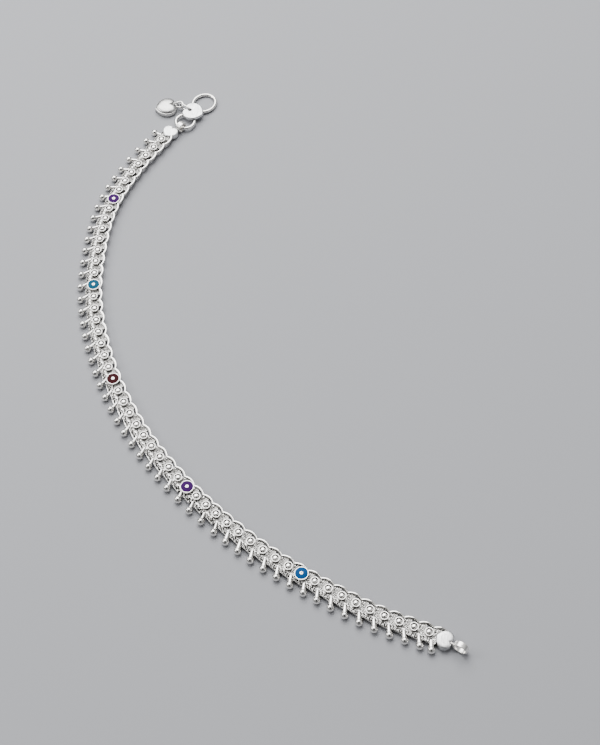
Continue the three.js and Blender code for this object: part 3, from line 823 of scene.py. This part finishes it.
def build_enamels():
    """A ring of enamel in each wide cup, from its wall to its eyelet, where it stands a little higher."""
    inner = EYELET_RADIUS
    outer = ENAMEL_CUP_INNER - ENAMEL_CLEARANCE
    bottom = CUP_HEIGHT - 0.4
    edge = CUP_HEIGHT - 0.1
    steps = 6
    for index, (cup, tag, colour) in enumerate(ENAMELS):
        profile = [(inner, bottom), (outer, bottom), (outer, edge)]
        for k in range(1, steps + 1):
            share = k / steps
            radius = outer + (inner - outer) * share
            profile.append((radius, edge + ENAMEL_CROWN * math.sin(0.5 * math.pi * share)))
        fill = Body()
        fill.add(*lathe(profile, 36, closed=True), frame_at_cup(cup))
        material = enamel(f"{tag} vitreous enamel {index + 1}", colour)
        fill.finish(f"enamel_fill_{index + 1}", f"enamel_{index + 1}", f"{tag}_enamel", material, 60)


def dome(edge, top, power=1.0):
    """The levels of a dome from its edge up; a power under 1 gives a flatter top and a rounder edge."""
    angles = [0.5 * math.pi * k / DOME_STEPS for k in range(1, DOME_STEPS)]
    return [(math.cos(a) ** power, edge + (top - edge) * math.sin(a)) for a in angles]


def build_cap(tag, at_tail, seat, outer):
    """A heart on the chain's end, with its band ring standing beside it."""
    place = end_frame(at_tail)
    body = Body()
    levels = [(0.94, 0.0), (0.99, 0.12), (1.0, 0.3), (1.0, CAP_EDGE)]
    levels += dome(CAP_EDGE, CAP_THICKNESS, CAP_FLATNESS)
    body.add(*crowned(heart(CAP_LENGTH, CAP_WIDTH, CAP_NOTCH), levels, CAP_THICKNESS), place)
    body.finish(f"{tag}_heart", f"{tag}_cap", "satin_silver", FROSTED)
    half = END_RING_WIDTH / 2
    inner = outer - END_RING_WALL
    ease = END_RING_EASE
    profile = [
        (inner, -half + ease), (inner + ease, -half), (outer - ease, -half), (outer, -half + ease),
        (outer, half - ease), (outer - ease, half), (inner + ease, half), (inner, half - ease),
    ]
    band = Body()
    ring_place = place @ end_ring_frame(seat) @ shift(0, 0, outer) @ turn(90, "X")
    band.add(*lathe(profile, 48, closed=True), ring_place)
    reach, around, _ = seat
    solder = tube([(0.2 * CAP_LENGTH, 0, 0), (reach - outer + 0.2, 0, 0)], SOLDER_RADIUS, 12)
    band.add(*solder, place @ turn(around) @ shift(0, 0, SOLDER_LEVEL))
    band.finish(f"{tag}_ring", f"{tag}_cap", "polished_silver", BAND)


def hook_path():
    """The wire's middle line: round the small ring, across under the plate, and round the big ring."""
    points = []
    sweep = 360 - 2 * HOOK_OPEN_DEG
    steps = 36
    for k in range(steps + 1):
        angle = math.radians(HOOK_OPEN_DEG + sweep * k / steps)
        points.append((HOOK_SMALL_RING * math.cos(angle), HOOK_SMALL_RING * math.sin(angle), 0))
    for k in range(steps + 1):
        angle = math.radians(180 - HOOK_OPEN_DEG - sweep * k / steps)
        x = HOOK_RING_SPACING + HOOK_BIG_RING * HOOK_BIG_STRETCH * math.cos(angle)
        points.append((x, HOOK_BIG_RING * math.sin(angle), 0))
    return points


def build_hook():
    wire = Body()
    wire.add(*tube(hook_path(), WIRE_RADIUS, 16), hook_frame())
    wire.finish("hook_wire", "s_hook", "polished_silver", POLISHED)
    plate = Body()
    hole = arc(HOLE_RADIUS, 0, 345, 23, (HOLE_ALONG, 0))
    levels = [(0.96, 0.0), (1.0, 0.12), (1.0, PLATE_METAL - 0.3), (0.985, PLATE_METAL - 0.14),
              (0.95, PLATE_METAL - 0.03), (0.92, PLATE_METAL)]
    plate.add(*slab(heart(PLATE_LENGTH, PLATE_WIDTH, PLATE_NOTCH), levels, [hole]), plate_frame())
    plate.finish("hook_plate", "s_hook", "polished_silver", FROSTED)


def build_charm():
    """The two small links, and the puffy heart with its bail: a fluted side, a groove and a domed face."""
    link = Body()
    radius = PLATE_METAL / 2 + RUNNING_GAP + SMALL_WIRE_RADIUS
    centre = hole_frame() @ shift(PLATE_LINK_LENGTH / 2) @ turn(90, "X")
    link.add(*ring(radius, SMALL_WIRE_RADIUS, PLATE_LINK_LENGTH - 2 * radius), centre)
    link.finish("plate_jump_ring", "plate_link", "polished_silver", POLISHED)
    level_link = Body()
    level_link.add(*ring(CHARM_LINK_RADIUS, SMALL_WIRE_RADIUS), charm_link_frame())
    level_link.finish("charm_jump_ring", "charm_link", "polished_silver", POLISHED)
    reach = CHARM_LINK_RADIUS - 2 * SMALL_WIRE_RADIUS - RUNNING_GAP + BAIL_RADIUS
    bail_place = charm_link_frame() @ turn(CHARM_TURN_DEG) @ shift(reach)
    heart_reach = BAIL_RADIUS - BAIL_SINK + 0.45 * CHARM_LENGTH - CHARM_NOTCH
    place = bail_place @ shift(heart_reach, 0, -bail_place.to_translation().z) @ turn(180)
    body = Body()
    body.add(*ring(BAIL_RADIUS, SMALL_WIRE_RADIUS), bail_place @ turn(90, "X"))
    top = CHARM_SIDE_TOP
    side = [(0.95, 0.0), (1.0, 0.12), (1.02, top - 0.1), (0.99, top), (0.9, top)]
    box = heart(CHARM_LENGTH, CHARM_WIDTH, CHARM_NOTCH, 20)
    body.add(*crowned(box, side, top, FLUTE_HATCH), place)
    puff = heart(CHARM_LENGTH * PUFF_SCALE, CHARM_WIDTH * PUFF_SCALE, CHARM_NOTCH * PUFF_NOTCH_SCALE, 14)
    puff = [(x - PUFF_CENTRE, y) for x, y in puff]
    groove = [(0.92, top - 0.2), (0.92, top + 0.02), (0.99, PUFF_EDGE)]
    face = crowned(puff, groove + dome(PUFF_EDGE, CHARM_TOP), CHARM_TOP)
    body.add(*face, shift(*PUFF_SHIFT) @ place @ shift(PUFF_CENTRE))
    body.finish("heart_charm", "charm_heart", "satin_silver", SATIN, 50)


def build_floor():
    """A plain pale matt surface that the anklet lies on."""
    reach = 1.5
    corners = [(-reach, -reach, 0), (reach, -reach, 0), (reach, reach, 0), (-reach, reach, 0)]
    mesh = bpy.data.meshes.new("floor")
    mesh.from_pydata(corners, [], [(0, 1, 2, 3)])
    floor = bpy.data.objects.new("floor", mesh)
    bpy.context.scene.collection.objects.link(floor)
    material, tree = empty_material("pale matt paper")
    shader = node(tree, "ShaderNodeBsdfPrincipled", roughness=0.8)
    shader.inputs["Base Color"].default_value = linear("#A0A1A5")
    node(tree, "ShaderNodeOutputMaterial", [("Surface", shader.outputs["BSDF"])])
    mesh.materials.append(material)


def soft_box(name, place, size, power):
    """A round area light that looks at the anklet's middle: metres and watts."""
    data = bpy.data.lights.new(name, "AREA")
    data.shape = "DISK"
    data.size = size
    data.energy = power
    light = bpy.data.objects.new(name, data)
    light.location = place
    light.rotation_euler = (-Vector(place)).to_track_quat("-Z", "Y").to_euler()
    bpy.context.scene.collection.objects.link(light)


def build_light():
    """A large soft box behind the anklet, a smaller one at the left, and a grey room that is darker at the
    horizon and on the camera's side, so that polished balls and wires keep dark edges."""
    soft_box("key", (-0.13, 0.5, 0.72), 0.92, 15.0)
    soft_box("side", (-0.7, 0.1, 0.5), 0.35, 2.5)
    world = bpy.data.worlds.new("studio")
    world.use_nodes = True
    tree = world.node_tree
    tree.nodes.clear()
    way = node(tree, "ShaderNodeTexCoord").outputs["Generated"]
    split = node(tree, "ShaderNodeSeparateXYZ", [("Vector", way)])
    ramp = node(tree, "ShaderNodeValToRGB", [("Fac", split.outputs["Z"])])
    ramp.color_ramp.elements[0].position = 0.1
    ramp.color_ramp.elements[0].color = linear("#2C2D30")
    ramp.color_ramp.elements[1].position = 0.8
    ramp.color_ramp.elements[1].color = linear("#F2F3F5")
    lean = math.radians(CAMERA_ELEVATION_DEG)
    towards = node(tree, "ShaderNodeVectorMath", [("Vector", way)], operation="DOT_PRODUCT")
    towards.inputs[1].default_value = (0, -math.cos(lean), math.sin(lean))
    shadow = node(tree, "ShaderNodeMapRange", [("Value", towards.outputs["Value"])],
                  from_min=0.74, from_max=0.92, to_min=0.95, to_max=0.06)
    back = node(tree, "ShaderNodeBackground",
                [("Color", ramp.outputs["Color"]), ("Strength", shadow.outputs["Result"])])
    node(tree, "ShaderNodeOutputWorld", [("Surface", back.outputs["Background"])])
    bpy.context.scene.world = world


def build_camera():
    data = bpy.data.cameras.new("camera")
    data.sensor_width = SENSOR
    data.lens = FOCAL_PIXELS / PHOTO_HEIGHT_PIXELS * SENSOR
    data.clip_start = 0.01
    camera = bpy.data.objects.new("camera", data)
    camera.location = Vector((CAMERA_X, CAMERA_Y, CAMERA_Z)) * MM + TO_ROW
    camera.rotation_euler = (math.radians(90 - CAMERA_ELEVATION_DEG), 0, 0)
    bpy.context.scene.collection.objects.link(camera)
    bpy.context.scene.camera = camera


build_camera()
build_floor()
build_light()
build_chain()
build_enamels()
build_cap("head", False, HEAD_RING, HEAD_RING_RADIUS)
build_cap("tail", True, TAIL_RING, END_RING_RADIUS)
build_hook()
build_charm()

bpy.context.view_layer.update()
